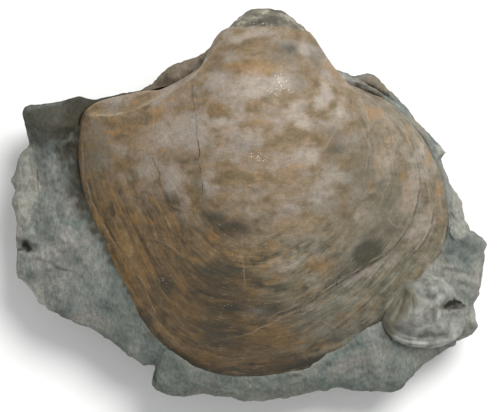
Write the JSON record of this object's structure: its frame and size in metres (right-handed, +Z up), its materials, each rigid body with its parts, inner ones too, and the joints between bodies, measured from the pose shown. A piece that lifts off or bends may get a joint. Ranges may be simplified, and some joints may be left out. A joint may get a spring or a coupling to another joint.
{
  "type": "fossil bivalve shell in mudstone with a small oyster",
  "caption": "Domed fossil bivalve valve with growth ledges and a hooked beak, set in a flat-based block of broken mudstone, with a small oyster at the valve's lower edge.",
  "frame": {"origin": "centre of the bounding box in plan, on the surface that the stone stands on", "axes": "+Z up out of the domed valve, +Y towards the valve's beak, +X towards the side with the small oyster"},
  "size_m": [0.1198, 0.098, 0.0485],
  "materials": {
    "worn_shell": "worn calcite shell, tan, rust and grey in growth bands, satin",
    "grey_mudstone": "dull broken grey-green mudstone with a brown weathered corner",
    "oyster_shell": "pale pinkish grey oyster shell, dull to satin"
  },
  "bodies": {
    "root": {"large_shell": "worn_shell", "mudstone_matrix": "grey_mudstone", "small_oyster": "oyster_shell"}
  },
  "joints": []
}
